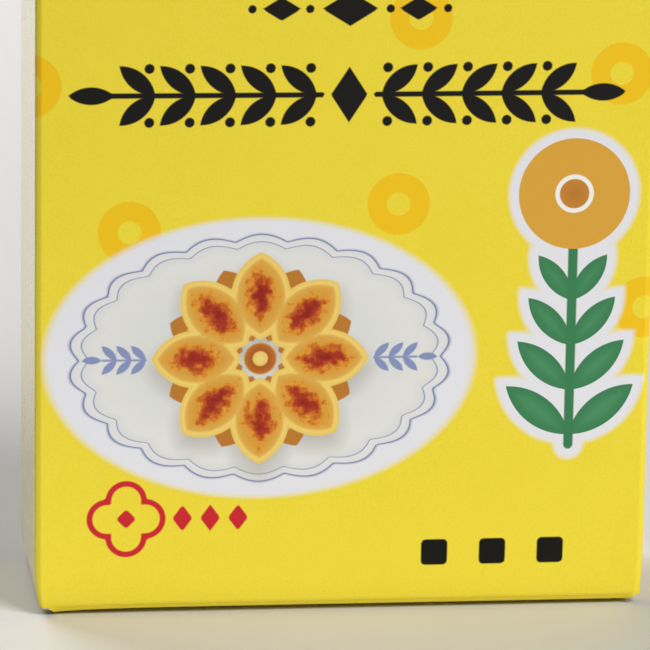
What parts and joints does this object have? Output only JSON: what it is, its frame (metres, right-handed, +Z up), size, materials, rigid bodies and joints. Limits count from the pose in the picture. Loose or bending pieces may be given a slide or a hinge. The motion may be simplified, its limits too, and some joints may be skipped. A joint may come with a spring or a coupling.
{
  "type": "printed paperboard cake carton",
  "caption": "Upright shut folding carton of glossy yellow coated paperboard for small cakes, with a tucked top and a folded-under bottom panel.",
  "frame": {"origin": "centre of the bounding box at the face the carton stands on", "axes": "+Z up through the height, -Y out of the printed front, +X to the right as seen from the front"},
  "size_m": [0.115, 0.0434, 0.148],
  "materials": {
    "coated_board": "gloss-coated printed paperboard, lemon yellow"
  },
  "bodies": {
    "root": {"carton": "coated_board"}
  },
  "joints": []
}
